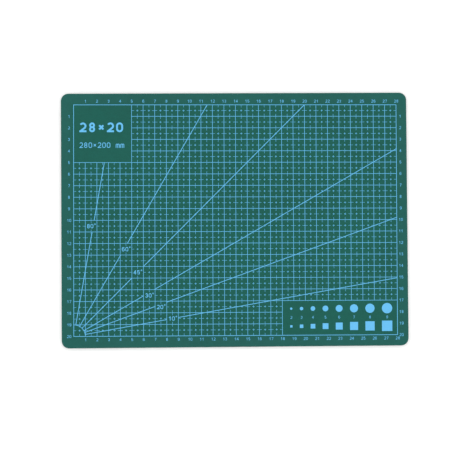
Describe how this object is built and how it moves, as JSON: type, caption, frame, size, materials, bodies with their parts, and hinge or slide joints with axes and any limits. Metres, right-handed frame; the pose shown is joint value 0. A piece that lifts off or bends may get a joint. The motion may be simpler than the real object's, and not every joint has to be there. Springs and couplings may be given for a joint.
{
  "type": "self-healing cutting mat",
  "caption": "Flat rounded rectangular cutting mat of bonded plies, printed with a centimetre grid, angle rays, margin numbers and size templates.",
  "frame": {"origin": "middle of the underside, where the mat rests", "axes": "+X along the long side, the way the numbers read; +Y up the short side of the print; +Z out of the printed face"},
  "size_m": [0.3, 0.22, 0.003],
  "materials": {
    "skin_pvc": "fine matte grain, dark green",
    "cushion_pvc": "plain cut edge, darker green",
    "core_sheet": "plain cut edge, pale grey",
    "print_ink": "thin screen-printed film, light blue"
  },
  "bodies": {
    "root": {"backing_ply": "skin_pvc", "lower_cushion_ply": "cushion_pvc", "core_ply": "core_sheet", "upper_cushion_ply": "cushion_pvc", "surface_ply": "skin_pvc", "frame_border": "print_ink", "centimetre_grid": "print_ink", "angle_rays": "print_ink", "protractor_arc": "print_ink", "angle_labels": "print_ink", "top_numbers": "print_ink", "bottom_numbers": "print_ink", "left_numbers": "print_ink", "right_numbers": "print_ink", "title_numbers": "print_ink", "subtitle_numbers": "print_ink", "circle_templates": "print_ink", "square_templates": "print_ink", "template_numbers": "print_ink"}
  },
  "joints": []
}
